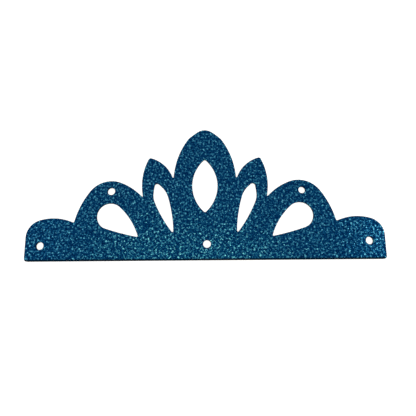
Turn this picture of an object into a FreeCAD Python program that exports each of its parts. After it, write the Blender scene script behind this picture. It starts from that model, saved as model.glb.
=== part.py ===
import FreeCAD, Part
import math
import os

# A crown cut in one piece from thick glitter sheet, lying flat with its glitter face up.
# Millimetres. +X runs along the band to the wearer's left, +Y up to the peak, +Z out of the face.
# The origin is the middle of the outline's box, on the underside of the sheet.
#
# Every outline here is a loop of corners joined by sides. A corner is a small circle: its radius is
# positive at a rounded tip and negative at a rounded valley. A side is an arc that runs tangent from
# one corner's circle into the next, so no outline has a kink. Heights are taken from the base edge,
# and widths outwards from the middle of the crown.

# Sheet
sheetThickness = 2.5
rimBevel = 0.3
baseCornerRadius = 2.0

# Widths of the lobes, from the middle of the crown out to its end, measured between the valleys
centrePetalHalfWidth = 23.0
leafWidth = 22.0
archWidth = 48.6
endLobeWidth = 32.9

# Centre petal
petalHeight = 96.2
petalTipRadius = 9.2
petalShoulderOut = 5.8
petalShoulderDrop = 12.5
petalShoulderRadius = 8.25
petalUpperSideRadius = 60.0
petalLowerSideRadius = 55.0

# Leaf that leans out on each side of the petal
leafHeight = 74.7
leafTipOut = 16.4
leafTipRadius = 1.85
leafInnerSideRadius = 23.7
leafOuterSideRadius = 42.7
leafInnerValleyDrop = 14.9
leafValleyRadius = 0.45

# Round arch
archHeight = 57.6
archTopOut = 22.4
archTopRadius = 18.85
archInnerSideRadius = 41.2
archOuterSideRadius = 59.3
archInnerValleyDrop = 11.8
archValleyRadius = 0.4

# Low lobe at each end of the band
endLobeHeight = 29.7
endShoulderRadius = 12.85
endLobeSideRadius = 33.8
endValleyDrop = 2.2
endValleyRadius = 0.8

# Pointed oval window in the petal
lensTopBorder = 22.8
lensBottomHeight = 34.2
lensWidth = 18.2
lensTipRadius = 1.2

# Narrow window in each leaf, from a blunt foot low in the band up to a small rounded top
leafWindowFootOut = 0.2
leafWindowFootHeight = 20.0
leafWindowFootRadius = 0.7
leafWindowTopOut = 11.6
leafWindowTopBorder = 19.1
leafWindowTopRadius = 1.8
leafWindowInnerOut = 2.8
leafWindowInnerDrop = 34.4
leafWindowInnerRadius = 18.0
leafWindowOuterOut = 14.2
leafWindowOuterDrop = 27.4
leafWindowOuterRadius = 13.5
leafWindowSideRadius = 98.0

# Teardrop window in each arch, its point low on the inner side
archWindowPointOut = 2.6
archWindowPointHeight = 16.8
archWindowPointRadius = 0.6
archWindowBulbOut = 0.4
archWindowTopBorder = 16.4
archWindowBulbRadius = 9.4
archWindowInnerSideRadius = 48.0
archWindowLowerSideRadius = 190.0

# Holes for elastic or ribbon, made with a hand punch, so the two sides differ a little
holeDiameter = 5.5
rightArchHoleDiameter = 5.0
centreHoleOffset = 1.2
centreHoleHeight = 11.4
archHoleDrop = 7.6
rightArchHoleOffset = 2.4
leftEndHoleInset = 10.3
leftEndHoleHeight = 10.9
rightEndHoleInset = 11.0
rightEndHoleHeight = 13.0

straight = None


# The facing of a point on a loop is the direction, as an angle, from its edge into the enclosed area.
def pointAt(centre, radius, facing):
    return FreeCAD.Vector(centre[0] - radius * math.cos(facing), centre[1] - radius * math.sin(facing), 0)


# Both ends of the side between two corners, with its centre, for a loop that is walked clockwise.
def sideBetween(corner, following, sideRadius):
    reach = math.hypot(following[0] - corner[0], following[1] - corner[1])
    heading = math.atan2(following[1] - corner[1], following[0] - corner[0])
    if sideRadius is straight:
        facing = heading - math.acos((following[2] - corner[2]) / reach)
        return facing, facing, None
    toCorner = sideRadius - corner[2]
    toFollowing = sideRadius - following[2]
    opening = math.acos((toCorner ** 2 + reach ** 2 - toFollowing ** 2) / (2 * toCorner * reach))
    startFacing = heading - opening
    centre = (corner[0] + toCorner * math.cos(startFacing), corner[1] + toCorner * math.sin(startFacing))
    endFacing = math.atan2(centre[1] - following[1], centre[0] - following[0])
    return startFacing, endFacing, centre


def arcEdge(centre, radius, startFacing, endFacing):
    direction = math.copysign(1, radius)
    turn = (direction * (startFacing - endFacing)) % (2 * math.pi)
    halfway = startFacing - direction * turn / 2
    start = pointAt(centre, radius, startFacing)
    end = pointAt(centre, radius, endFacing)
    return Part.Arc(start, pointAt(centre, radius, halfway), end).toShape()


def cutPiece(corners, sideRadii):
    count = len(corners)
    sides = [sideBetween(corners[i], corners[(i + 1) % count], sideRadii[i]) for i in range(count)]
    edges = []
    for i in range(count):
        corner = corners[i]
        following = corners[(i + 1) % count]
        startFacing, endFacing, centre = sides[i]
        edges.append(arcEdge(corner, corner[2], sides[i - 1][1], startFacing))
        if centre is None:
            start = pointAt(corner, corner[2], startFacing)
            end = pointAt(following, following[2], endFacing)
            edges.append(Part.LineSegment(start, end).toShape())
        else:
            edges.append(arcEdge(centre, sideRadii[i], startFacing, endFacing))
    outline = Part.Face(Part.Wire(edges))
    return outline.extrude(FreeCAD.Vector(0, 0, sheetThickness))


# Valleys between the lobes, and the end of the band
leafInnerValleyOut = centrePetalHalfWidth
archInnerValleyOut = leafInnerValleyOut + leafWidth
endValleyOut = archInnerValleyOut + archWidth
bandEnd = endValleyOut + endLobeWidth
archTopX = archInnerValleyOut + archTopOut


def tip(out, height, radius):
    return (out, height - radius, radius)


def valley(out, height, radius):
    return (out, height + radius, -radius)


def mirrored(corners):
    return [(-x, y, radius) for x, y, radius in reversed(corners)]


def blankSheet():
    top = tip(0, petalHeight, petalTipRadius)
    rightSide = [
        (petalShoulderOut, petalHeight - petalShoulderDrop, petalShoulderRadius),
        valley(leafInnerValleyOut, leafHeight - leafInnerValleyDrop, leafValleyRadius),
        tip(leafInnerValleyOut + leafTipOut, leafHeight, leafTipRadius),
        valley(archInnerValleyOut, archHeight - archInnerValleyDrop, archValleyRadius),
        tip(archTopX, archHeight, archTopRadius),
        valley(endValleyOut, endLobeHeight - endValleyDrop, endValleyRadius),
        tip(bandEnd - endShoulderRadius, endLobeHeight, endShoulderRadius),
        (bandEnd - baseCornerRadius, baseCornerRadius, baseCornerRadius),
    ]
    rightRadii = [
        petalUpperSideRadius,
        petalLowerSideRadius,
        leafInnerSideRadius,
        leafOuterSideRadius,
        archInnerSideRadius,
        archOuterSideRadius,
        endLobeSideRadius,
        straight,
    ]
    corners = [top] + rightSide + mirrored(rightSide)
    return cutPiece(corners, rightRadii + [straight] + rightRadii[::-1])


def lensWindow():
    top = tip(0, petalHeight - lensTopBorder, lensTipRadius)
    bottom = valley(0, lensBottomHeight, lensTipRadius)
    halfHeight = (top[1] - bottom[1]) / 2
    halfWidth = lensWidth / 2
    spare = halfWidth - lensTipRadius
    sideRadius = (halfWidth ** 2 + halfHeight ** 2 - lensTipRadius ** 2) / (2 * spare)
    return cutPiece([top, (0, bottom[1], lensTipRadius)], [sideRadius, sideRadius])


def leafWindow():
    inner = leafInnerValleyOut
    foot = (inner + leafWindowFootOut, leafWindowFootHeight + leafWindowFootRadius, leafWindowFootRadius)
    innerBend = (inner + leafWindowInnerOut + leafWindowInnerRadius, leafHeight - leafWindowInnerDrop,
                 leafWindowInnerRadius)
    top = tip(inner + leafWindowTopOut, leafHeight - leafWindowTopBorder, leafWindowTopRadius)
    outerBend = (inner + leafWindowOuterOut - leafWindowOuterRadius, leafHeight - leafWindowOuterDrop,
                 leafWindowOuterRadius)
    return cutPiece([foot, innerBend, top, outerBend], [leafWindowSideRadius] * 4)


def archWindow():
    point = (archInnerValleyOut + archWindowPointOut + archWindowPointRadius,
             archWindowPointHeight + archWindowPointRadius, archWindowPointRadius)
    bulb = tip(archTopX + archWindowBulbOut, archHeight - archWindowTopBorder, archWindowBulbRadius)
    return cutPiece([point, bulb], [archWindowInnerSideRadius, archWindowLowerSideRadius])


def otherSide(shape):
    return shape.mirror(FreeCAD.Vector(0, 0, 0), FreeCAD.Vector(1, 0, 0))


def bevelledFrontRim(sheet):
    rim = [edge for edge in sheet.Edges
           if all(abs(vertex.Z - sheetThickness) < 0.001 for vertex in edge.Vertexes)]
    return sheet.makeChamfer(rimBevel, rim)


def punchedHole(x, y, diameter=holeDiameter):
    return Part.makeCylinder(diameter / 2, sheetThickness, FreeCAD.Vector(x, y, 0))


def crownSheet():
    leafCut = leafWindow()
    archCut = archWindow()
    windows = [lensWindow(), leafCut, otherSide(leafCut), archCut, otherSide(archCut)]
    sheet = bevelledFrontRim(blankSheet().cut(windows))
    archHoleHeight = archHeight - archHoleDrop
    holes = [
        punchedHole(centreHoleOffset, centreHoleHeight),
        punchedHole(-archTopX, archHoleHeight),
        punchedHole(archTopX + rightArchHoleOffset, archHoleHeight, rightArchHoleDiameter),
        punchedHole(leftEndHoleInset - bandEnd, leftEndHoleHeight),
        punchedHole(bandEnd - rightEndHoleInset, rightEndHoleHeight),
    ]
    sheet = sheet.cut(holes)
    sheet.translate(FreeCAD.Vector(0, -petalHeight / 2, 0))
    return sheet


os.makedirs("parts", exist_ok=True)
crown = crownSheet()
crown.exportStep("parts/crown_sheet.step")
print("crown_sheet", len(crown.Solids), "solid, valid", crown.isValid(), "volume", round(crown.Volume))
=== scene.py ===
import bpy
import bmesh
import math
import random
from mathutils import Matrix, Vector, kdtree, noise
from mathutils.geometry import delaunay_2d_cdt


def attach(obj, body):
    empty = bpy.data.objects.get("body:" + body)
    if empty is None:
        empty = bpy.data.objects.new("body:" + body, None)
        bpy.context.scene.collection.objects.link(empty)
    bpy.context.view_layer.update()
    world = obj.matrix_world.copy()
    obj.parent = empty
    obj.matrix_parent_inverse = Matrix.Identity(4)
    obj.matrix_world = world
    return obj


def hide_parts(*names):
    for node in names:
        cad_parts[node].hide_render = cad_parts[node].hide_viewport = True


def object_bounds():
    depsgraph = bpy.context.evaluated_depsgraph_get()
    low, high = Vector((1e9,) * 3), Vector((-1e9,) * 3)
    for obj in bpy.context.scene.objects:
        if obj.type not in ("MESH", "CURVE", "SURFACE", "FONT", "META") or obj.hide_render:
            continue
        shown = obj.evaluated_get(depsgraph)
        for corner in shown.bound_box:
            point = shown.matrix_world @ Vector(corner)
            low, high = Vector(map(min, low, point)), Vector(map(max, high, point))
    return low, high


# Crown cut from thick glitter sheet: a foam sheet with a coat of glitter on its face.
# Everything is in metres, in the frame of the solid model.

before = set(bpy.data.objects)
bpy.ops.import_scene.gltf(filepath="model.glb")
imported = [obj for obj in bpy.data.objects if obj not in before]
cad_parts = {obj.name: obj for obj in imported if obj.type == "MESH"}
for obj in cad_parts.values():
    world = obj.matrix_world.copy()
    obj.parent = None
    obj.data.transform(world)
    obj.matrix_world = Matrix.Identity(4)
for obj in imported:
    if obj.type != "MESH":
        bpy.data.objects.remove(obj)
cadLow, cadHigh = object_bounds()
sheetNode = "crown_sheet"
sheetTop = cadHigh.z
mergeDistance = 0.000001


def reportStage(words):
    print("stage:", words, flush=True)


def deselectAll():
    if bpy.context.object and bpy.context.object.mode != "OBJECT":
        bpy.ops.object.mode_set(mode="OBJECT")
    bpy.ops.object.select_all(action="DESELECT")


def activate(piece):
    deselectAll()
    piece.select_set(True)
    bpy.context.view_layer.objects.active = piece


def copyOfNode(nodeName, pieceName):
    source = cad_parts[nodeName]
    piece = bpy.data.objects.new(pieceName, source.data.copy())
    bpy.context.collection.objects.link(piece)
    activate(piece)
    bpy.ops.object.mode_set(mode="EDIT")
    bpy.ops.mesh.select_all(action="SELECT")
    bpy.ops.mesh.remove_doubles(threshold=mergeDistance)
    bpy.ops.object.mode_set(mode="OBJECT")
    return piece


# Cut edges of the sheet, read from the underside of the solid

outlineLook = {
    "step": 0.00042,        # distance between points along every cut edge
    "rowHeight": 0.001,     # rows that the cut edges are sorted into, to find what is inside
    "cutWander": 0.00003,   # how far the cut strays from its line
    "wanderLength": 0.004,
}


def chained(edges):
    following = dict(edges)
    loops = []
    while following:
        first, point = following.popitem()
        loop = [first]
        while point != first:
            loop.append(point)
            point = following.pop(point)
        loops.append(loop)
    return loops


def undersideLoops(piece):
    facingDown = -0.99
    mesh = bmesh.new()
    mesh.from_mesh(piece.data)
    mesh.normal_update()
    edges = []
    for face in mesh.faces:
        if face.normal.z > facingDown:
            continue
        for corner in face.loops:
            beside = corner.link_loop_radial_next.face
            if beside is face or beside.normal.z > facingDown:
                edges.append((corner.link_loop_next.vert.index, corner.vert.index))
    places = {vert.index: vert.co.xy.copy() for vert in mesh.verts}
    mesh.free()
    return [[places[index] for index in loop] for loop in chained(edges)]


def evenlySpaced(loop, step):
    points = []
    for start, end in zip(loop, loop[1:] + loop[:1]):
        count = max(1, round((end - start).length / step))
        points += [start.lerp(end, i / count) for i in range(count)]
    return points


def softened(loop):
    return [(before + 2 * here + after) / 4
            for before, here, after in zip(loop[-1:] + loop[:-1], loop, loop[1:] + loop[:1])]


# The material lies to the left of every loop as it is walked.
def sideways(loop):
    across = []
    for before, after in zip(loop[-1:] + loop[:-1], loop[1:] + loop[:1]):
        along = (after - before).normalized()
        across.append(Vector((-along.y, along.x)))
    return across


def wandering(loop, look):
    moved = []
    for point, inward in zip(loop, sideways(loop)):
        sway = noise.noise(Vector((point.x, point.y, 0.3)) / look["wanderLength"])
        strayed = point + inward * look["cutWander"] * sway
        strayed.x = min(max(strayed.x, cadLow.x), cadHigh.x)
        strayed.y = min(max(strayed.y, cadLow.y), cadHigh.y)
        moved.append(strayed)
    return moved


def cutEdges(look):
    piece = copyOfNode(sheetNode, "outline_source")
    loops = undersideLoops(piece)
    bpy.data.objects.remove(piece)
    loops = [evenlySpaced(loop, look["step"]) for loop in loops]
    loops = [softened(loop) for loop in loops]
    return [wandering(loop, look) for loop in loops]


def numberedEdges(loops):
    points = []
    edges = []
    for loop in loops:
        first = len(points)
        edges += [(first + i, first + (i + 1) % len(loop)) for i in range(len(loop))]
        points += loop
    return points, edges


def newPiece(name, points, edges, faces):
    data = bpy.data.meshes.new(name)
    data.from_pydata(points, edges, faces)
    piece = bpy.data.objects.new(name, data)
    bpy.context.collection.objects.link(piece)
    activate(piece)
    return piece


def closedUp():
    bpy.ops.mesh.select_all(action="SELECT")
    bpy.ops.mesh.remove_doubles(threshold=2 * mergeDistance)
    bpy.ops.mesh.normals_make_consistent(inside=False)
    bpy.ops.object.mode_set(mode="OBJECT")


# Foam sheet: the cut outline filled and extruded row by row, with a rounded lower rim and a cut wall
# that draws in a little and shows its cells

foamLook = {
    "rows": 7,
    "backRim": 0.00018,     # rounded lower edge
    "backRimSegments": 2,
    "pinch": 0.00005,       # the middle of the cut wall draws in
    "cellSize": 0.0005,
    "cellDepth": 0.00009,
    "smoothAngle": 40,
}


def selectWhere(piece, kind, wanted):
    mesh = bmesh.from_edit_mesh(piece.data)
    bpy.ops.mesh.select_all(action="DESELECT")
    bpy.ops.mesh.select_mode(type=kind)
    for part in mesh.verts if kind == "VERT" else mesh.edges:
        if wanted(part):
            part.select = True
    mesh.select_flush_mode()
    bmesh.update_edit_mesh(piece.data)


def foamSheet(loops, look, coatUnderside):
    outline, edges = numberedEdges(loops)
    piece = newPiece("foam_sheet", [(point.x, point.y, 0) for point in outline], edges, [])
    rowHeight = coatUnderside / look["rows"]
    rowMargin = rowHeight / 4
    squareCorner = math.radians(60)
    bpy.ops.object.mode_set(mode="EDIT")
    bpy.ops.mesh.select_all(action="SELECT")
    bpy.ops.mesh.fill()
    for row in range(look["rows"]):
        bpy.ops.mesh.extrude_region_move(TRANSFORM_OT_translate={"value": (0, 0, rowHeight)})
    bpy.ops.mesh.select_all(action="SELECT")
    bpy.ops.mesh.normals_make_consistent(inside=False)
    for row in range(1, look["rows"]):
        height = row * rowHeight
        drawnIn = look["pinch"] * math.sin(math.pi * row / look["rows"])
        selectWhere(piece, "VERT", lambda vert: abs(vert.co.z - height) < rowMargin)
        bpy.ops.transform.shrink_fatten(value=-drawnIn)
    selectWhere(piece, "EDGE", lambda edge: edge.is_manifold and edge.calc_face_angle() > squareCorner
                and all(vert.co.z < rowMargin for vert in edge.verts))
    bpy.ops.mesh.bevel(offset=look["backRim"], segments=look["backRimSegments"], affect="EDGES")
    closedUp()
    showCells(piece, look, rowHeight, coatUnderside)
    bpy.ops.object.shade_smooth_by_angle(angle=math.radians(look["smoothAngle"]))
    return piece


def showCells(piece, look, lowest, highest):
    wall = piece.vertex_groups.new(name="cut_wall")
    margin = lowest / 2
    chosen = [vert.index for vert in piece.data.vertices if margin < vert.co.z < highest - margin]
    wall.add(chosen, 1.0, "REPLACE")
    cells = bpy.data.textures.new("foam_cells", "CLOUDS")
    cells.noise_scale = look["cellSize"]
    displace = piece.modifiers.new("cells", "DISPLACE")
    displace.texture = cells
    displace.texture_coords = "LOCAL"
    displace.vertex_group = wall.name
    displace.mid_level = 1.0
    displace.strength = look["cellDepth"]
    bpy.ops.object.modifier_apply(modifier=displace.name)


# Glitter coat: a crust of flakes, so its face is laid from scattered points rather than modelled by
# hand, and every triangle is a flake with its own tilt and tint

coatLook = {
    "thickness": 0.00042,
    "flakeSpacing": 0.00046,
    "flakeScatter": 0.32,   # share of the spacing that a flake may stray
    "clearOfCut": 0.6,      # and share of it that stays free of them along the cut
    "flakeLift": 0.00004,   # how far the flakes stand proud of each other
    "swell": 0.00005,       # slow rise and fall of the coat
    "swellLength": 0.016,
    "rimDrop": 0.00016,
    "rimWidth": 0.0005,
    "darkerRim": 0.0003,      # along every cut the face turns dark and loses its flakes
    "baseShadeFull": 0.0009,     # and a wider dark band along the straight base, painted shade of the front wall
    "baseShadeEnd": 0.0014,
    "clumpSize": 0.0013,    # flakes of a like tint lie together
    "clumpShare": 0.5,
    "placeSeed": 7,
    "liftSeed": 5,
    "tintSeed": 11,
}


def edgeRows(loops, rowHeight):
    rows = {}
    for loop in loops:
        for start, end in zip(loop, loop[1:] + loop[:1]):
            lowest = int(min(start.y, end.y) // rowHeight)
            highest = int(max(start.y, end.y) // rowHeight)
            for row in range(lowest, highest + 1):
                rows.setdefault(row, []).append((start, end))
    return rows


def isInside(point, rows, rowHeight):
    inside = False
    for start, end in rows.get(int(point.y // rowHeight), ()):
        if (start.y > point.y) != (end.y > point.y):
            crossing = start.x + (point.y - start.y) * (end.x - start.x) / (end.y - start.y)
            inside ^= point.x < crossing
    return inside


def nearness(points):
    tree = kdtree.KDTree(len(points))
    for index, point in enumerate(points):
        tree.insert((point.x, point.y, 0), index)
    tree.balance()
    return tree


def fromCut(near, place):
    return near.find((place.x, place.y, 0))[2]


def scatteredFlakes(look, rows, near):
    chance = random.Random(look["placeSeed"])
    spacing = look["flakeSpacing"]
    scatter = look["flakeScatter"]
    clear = spacing * look["clearOfCut"]
    rowStep = spacing * math.sqrt(3) / 2
    points = []
    for row in range(int((cadHigh.y - cadLow.y) / rowStep) + 1):
        for column in range(int((cadHigh.x - cadLow.x) / spacing) + 1):
            x = cadLow.x + (column + row % 2 / 2 + chance.uniform(-scatter, scatter)) * spacing
            y = cadLow.y + row * rowStep + chance.uniform(-scatter, scatter) * spacing
            point = Vector((x, y))
            if isInside(point, rows, outlineLook["rowHeight"]) and fromCut(near, point) > clear:
                points.append(point)
    return points


def flakeTriangles(outline, edges, flakes, rows):
    placed, _, triangles, *_ = delaunay_2d_cdt(outline + flakes, edges, [], 0, 1e-9, False)
    kept = []
    for triangle in triangles:
        middle = (placed[triangle[0]] + placed[triangle[1]] + placed[triangle[2]]) / 3
        if isInside(middle, rows, outlineLook["rowHeight"]):
            kept.append(triangle)
    return placed, kept


def glitterCoat(loops, look):
    outline, edges = numberedEdges(loops)
    rows = edgeRows(loops, outlineLook["rowHeight"])
    near = nearness(outline)
    chance = random.Random(look["liftSeed"])

    def height(place):
        rim = max(0, 1 - fromCut(near, place) / look["rimWidth"]) ** 2
        swell = 0.5 + 0.5 * noise.noise(Vector((place.x, place.y, 0.2)) / look["swellLength"])
        return sheetTop - look["rimDrop"] * rim - look["swell"] * swell - look["flakeLift"] * chance.random()

    flakes = scatteredFlakes(look, rows, near)
    placed, triangles = flakeTriangles(outline, edges, flakes, rows)
    piece = newPiece("glitter_coat", [(place.x, place.y, height(place)) for place in placed], [], triangles)
    underside = sheetTop - look["thickness"]
    bpy.ops.object.mode_set(mode="EDIT")
    bpy.ops.mesh.select_all(action="SELECT")
    bpy.ops.mesh.delete_loose(use_verts=True, use_edges=True, use_faces=False)
    bpy.ops.mesh.select_mode(type="EDGE")
    bpy.ops.mesh.select_all(action="DESELECT")
    bpy.ops.mesh.select_non_manifold(extend=False)
    bpy.ops.mesh.extrude_edges_move(TRANSFORM_OT_translate={"value": (0, 0, -look["thickness"])})
    bpy.ops.transform.resize(value=(1, 1, 0), center_override=(0, 0, underside))
    bpy.ops.mesh.fill()
    closedUp()
    tintFlakes(piece, near, look)
    return piece


# flakeToneAndGlint runs evenly from 0, the darkest flake, to 1, the brightest: the flakes' own navy-to-teal
# tone, with painted shade on the darkest flakes and painted glints on the brightest.
def tintFlakes(piece, near, look):
    chance = random.Random(look["tintSeed"])
    toneAndGlint = piece.data.attributes.new("flakeToneAndGlint", "FLOAT", "FACE")
    clearOfDark = piece.data.attributes.new("clearOfRimAndShade", "FLOAT", "FACE")
    faces = piece.data.polygons
    shine = []
    for face in faces:
        clump = 0.5 + noise.noise(face.center / look["clumpSize"])
        shine.append(clump * look["clumpShare"] + chance.random() * (1 - look["clumpShare"]))
        # The face darkens along every cut, and the wide band along the straight base is painted shade of the
        # front wall in its own shadow.
        pastBaseShade = face.center.y - cadLow.y - look["baseShadeFull"]
        clearOfDarkHere = min(fromCut(near, face.center) / look["darkerRim"],
                      pastBaseShade / (look["baseShadeEnd"] - look["baseShadeFull"]))
        clearOfDark.data[face.index].value = min(1, max(0, clearOfDarkHere))
    for rank, index in enumerate(sorted(range(len(faces)), key=shine.__getitem__)):
        toneAndGlint.data[index].value = rank / (len(faces) - 1)


# Materials

def newMaterial(name):
    material = bpy.data.materials.new(name)
    material.use_nodes = True
    nodes = material.node_tree.nodes
    shader = nodes["Principled BSDF"]
    return material, nodes, material.node_tree.links, shader


def addRamp(nodes, stops):
    ramp = nodes.new("ShaderNodeValToRGB")
    ramp.color_ramp.interpolation = "LINEAR"
    elements = ramp.color_ramp.elements
    while len(elements) < len(stops):
        elements.new(1)
    for element, (place, colour) in zip(elements, stops):
        element.position = place
        element.color = (*colour, 1)
    return ramp


glitterFinish = {
    "roughness": 0.18,
    "specular": 0.0,
    "glancing": (0.25, 0.60, 0.85),  # tint of the metal where it is seen from low down
    "dyedShare": 0.4,       # share of the flakes that are dyed rather than metallic
    "leastMetal": 0.1,
    "mostMetal": 0.60,
    "stops": [              # share of the flakes, and their colour there; the dark end is painted shade and the bright end painted glints, over the flakes' own tone
        (0.00, (0.000, 0.009, 0.048)),
        (0.35, (0.000, 0.0215, 0.086)),
        (0.65, (0.001, 0.038, 0.123)),
        (0.80, (0.005, 0.073, 0.166)),
        (0.90, (0.016, 0.128, 0.230)),
        (0.97, (0.044, 0.240, 0.355)),
        (1.00, (0.130, 0.480, 0.620)),
    ],
    # colour of the dark rim along the cuts and of the painted shade along the base
    "rimAndBaseShade": (0.0012, 0.008, 0.020),
}

def glitterMaterial(finish):
    material, nodes, links, shader = newMaterial("glitter flakes, navy and teal")
    shader.inputs["Roughness"].default_value = finish["roughness"]
    shader.inputs["Specular IOR Level"].default_value = finish["specular"]
    shader.inputs["Specular Tint"].default_value = (*finish["glancing"], 1)
    # the flake colours below are the flakes' own tone with painted shade and painted glints
    toneAndGlint = nodes.new("ShaderNodeAttribute")
    toneAndGlint.attribute_name = "flakeToneAndGlint"
    colours = addRamp(nodes, finish["stops"])
    links.new(toneAndGlint.outputs["Fac"], colours.inputs["Fac"])
    metal = nodes.new("ShaderNodeMapRange")
    metal.inputs["From Min"].default_value = finish["dyedShare"]
    metal.inputs["To Min"].default_value = finish["leastMetal"]
    metal.inputs["To Max"].default_value = finish["mostMetal"]
    links.new(toneAndGlint.outputs["Fac"], metal.inputs["Value"])
    # the dark rim and the painted shade along the base take away the metal and the flake colour
    clearOfDark = nodes.new("ShaderNodeAttribute")
    clearOfDark.attribute_name = "clearOfRimAndShade"
    metalClearOfDark = nodes.new("ShaderNodeMath")
    metalClearOfDark.operation = "MULTIPLY"
    links.new(metal.outputs["Result"], metalClearOfDark.inputs[0])
    links.new(clearOfDark.outputs["Fac"], metalClearOfDark.inputs[1])
    links.new(metalClearOfDark.outputs[0], shader.inputs["Metallic"])
    rimAndShadeMix = nodes.new("ShaderNodeMix")
    rimAndShadeMix.data_type = "RGBA"
    rimAndShadeMix.inputs["A"].default_value = (*finish["rimAndBaseShade"], 1)
    links.new(clearOfDark.outputs["Fac"], rimAndShadeMix.inputs["Factor"])
    links.new(colours.outputs["Color"], rimAndShadeMix.inputs["B"])
    links.new(rimAndShadeMix.outputs["Result"], shader.inputs["Base Color"])
    return material


foamFinish = {
    # The foam's navy is set darker than the foam itself, as painted shade for the cut walls; the paler tone
    # in each cell is its own texture.
    "colour": (0.0008, 0.005, 0.012),
    "paler": (0.002, 0.011, 0.026),
    "palerFrom": 0.1,       # place in a cell where the paler tone begins, and where it is full
    "palerTo": 0.6,
    "roughness": 0.85,
    "specular": 0.03,
    "cellScale": 3200,
    "bump": 0.35,
    "bumpDepth": 0.0001,
}


def foamMaterial(finish):
    material, nodes, links, shader = newMaterial("foam, dyed navy")
    shader.inputs["Roughness"].default_value = finish["roughness"]
    shader.inputs["Specular IOR Level"].default_value = finish["specular"]
    place = nodes.new("ShaderNodeTexCoord")
    cells = nodes.new("ShaderNodeTexVoronoi")
    cells.inputs["Scale"].default_value = finish["cellScale"]
    links.new(place.outputs["Object"], cells.inputs["Vector"])
    tones = [(finish["palerFrom"], finish["colour"]), (finish["palerTo"], finish["paler"])]
    shade = addRamp(nodes, tones)
    links.new(cells.outputs["Distance"], shade.inputs["Fac"])
    links.new(shade.outputs["Color"], shader.inputs["Base Color"])
    bump = nodes.new("ShaderNodeBump")
    bump.inputs["Strength"].default_value = finish["bump"]
    bump.inputs["Distance"].default_value = finish["bumpDepth"]
    links.new(cells.outputs["Distance"], bump.inputs["Height"])
    links.new(bump.outputs["Normal"], shader.inputs["Normal"])
    return material


# Floor, light and camera

stageLook = {
    "floorSize": 6.0,
    "floorColour": (0.7, 0.7, 0.7),
    "floorRoughness": 0.9,
    "floorDrop": 0.0001,    # clear of the underside, so neither shows through the other
    "floorGlow": (0.94, 0.98, 1.0),
    "floorLift": 0.72,
    "worldDiffuse": 0.80,
}

lampLook = [
    {"name": "front_lamp", "place": (-0.05, -0.07, 0.9), "size": (0.44, 0.24), "power": 1.8,
     "colour": (1.0, 0.72, 0.38)},
    {"name": "side_lamp", "place": (0.66, 0.09, 0.9), "size": (0.28, 0.28), "power": 1.7,
     "colour": (1.0, 1.0, 0.95)},
    {"name": "left_lamp", "place": (-0.50, 0.10, 0.9), "size": (0.16, 0.16), "power": 0.12,
     "colour": (0.75, 0.90, 1.0)},
]

cameraLook = {
    "focus": (0.00212, -0.01103),  # point of the face in the middle of the picture
    "distance": 0.306,
    "tilt": 12.0,
    "roll": -0.46,
    "lens": 37.14,
    "sensor": 36.0,
    "nearest": 0.01,
}


def makeCamera(look):
    tilt = math.radians(look["tilt"])
    roll = math.radians(look["roll"])
    right = Vector((1, 0, 0))
    up = Vector((0, math.cos(tilt), math.sin(tilt)))
    back = Vector((0, -math.sin(tilt), math.cos(tilt)))
    across = right * math.cos(roll) + up * math.sin(roll)
    upright = up * math.cos(roll) - right * math.sin(roll)
    place = Vector((*look["focus"], sheetTop)) + back * look["distance"]
    data = bpy.data.cameras.new("camera")
    data.lens = look["lens"]
    data.sensor_width = look["sensor"]
    data.clip_start = look["nearest"]
    camera = bpy.data.objects.new("camera", data)
    bpy.context.collection.objects.link(camera)
    turn = Matrix((across, upright, back)).transposed().to_4x4()
    camera.matrix_world = Matrix.Translation(place) @ turn
    bpy.context.scene.camera = camera


def seenDirectly(nodes, links):
    rays = nodes.new("ShaderNodeLightPath")
    total = None
    for kind in ("Is Camera Ray", "Is Glossy Ray", "Is Transmission Ray"):
        if total is None:
            total = rays.outputs[kind]
            continue
        either = nodes.new("ShaderNodeMath")
        either.operation = "MAXIMUM"
        links.new(total, either.inputs[0])
        links.new(rays.outputs[kind], either.inputs[1])
        total = either.outputs[0]
    return total


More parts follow.
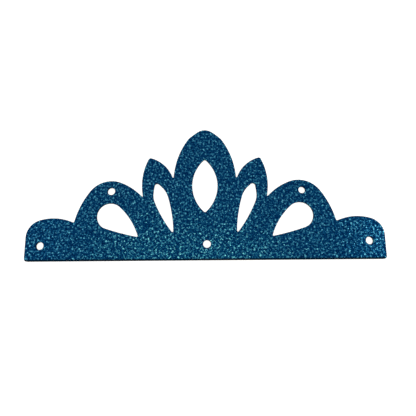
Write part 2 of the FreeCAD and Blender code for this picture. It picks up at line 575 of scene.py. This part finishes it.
def makeFloor(look):
    deselectAll()
    bpy.ops.mesh.primitive_plane_add(size=look["floorSize"], location=(0, 0, -look["floorDrop"]))
    floor = bpy.context.object
    floor.name = "floor"
    material, nodes, links, shader = newMaterial("white floor")
    shader.inputs["Base Color"].default_value = (*look["floorColour"], 1)
    shader.inputs["Roughness"].default_value = look["floorRoughness"]
    shader.inputs["Specular IOR Level"].default_value = 0.0
    shader.inputs["Emission Color"].default_value = (*look["floorGlow"], 1)
    lift = nodes.new("ShaderNodeMath")
    lift.operation = "MULTIPLY"
    lift.inputs[1].default_value = look["floorLift"]
    links.new(seenDirectly(nodes, links), lift.inputs[0])
    links.new(lift.outputs[0], shader.inputs["Emission Strength"])
    floor.data.materials.append(material)


def makeWorld(look):
    world = bpy.data.worlds.new("studio")
    world.use_nodes = True
    bpy.context.scene.world = world
    nodes = world.node_tree.nodes
    links = world.node_tree.links
    background = nodes["Background"]
    background.inputs["Color"].default_value = (1, 1, 1, 1)
    strength = nodes.new("ShaderNodeMapRange")
    strength.inputs["To Min"].default_value = look["worldDiffuse"]
    strength.inputs["To Max"].default_value = 1.0
    links.new(seenDirectly(nodes, links), strength.inputs["Value"])
    links.new(strength.outputs["Result"], background.inputs["Strength"])


def makeLamps(lamps):
    for look in lamps:
        data = bpy.data.lights.new(look["name"], "AREA")
        data.shape = "RECTANGLE"
        data.size, data.size_y = look["size"]
        data.energy = look["power"]
        data.color = look["colour"]
        lamp = bpy.data.objects.new(look["name"], data)
        bpy.context.collection.objects.link(lamp)
        lamp.location = look["place"]


bpy.context.scene.view_settings.view_transform = "Standard"
makeCamera(cameraLook)
makeFloor(stageLook)
makeWorld(stageLook)
makeLamps(lampLook)
reportStage("camera, floor and light")

cutLoops = cutEdges(outlineLook)
reportStage(f"{len(cutLoops)} cut edges")

foam = foamSheet(cutLoops, foamLook, sheetTop - coatLook["thickness"])
foam.data.materials.append(foamMaterial(foamFinish))
reportStage(f"foam sheet, {len(foam.data.polygons)} faces")

coat = glitterCoat(cutLoops, coatLook)
coat.data.materials.append(glitterMaterial(glitterFinish))
reportStage(f"glitter coat, {len(coat.data.polygons)} faces")

for piece in (foam, coat):
    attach(piece, "root")
    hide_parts(sheetNode)

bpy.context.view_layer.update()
reportStage("sizes written")
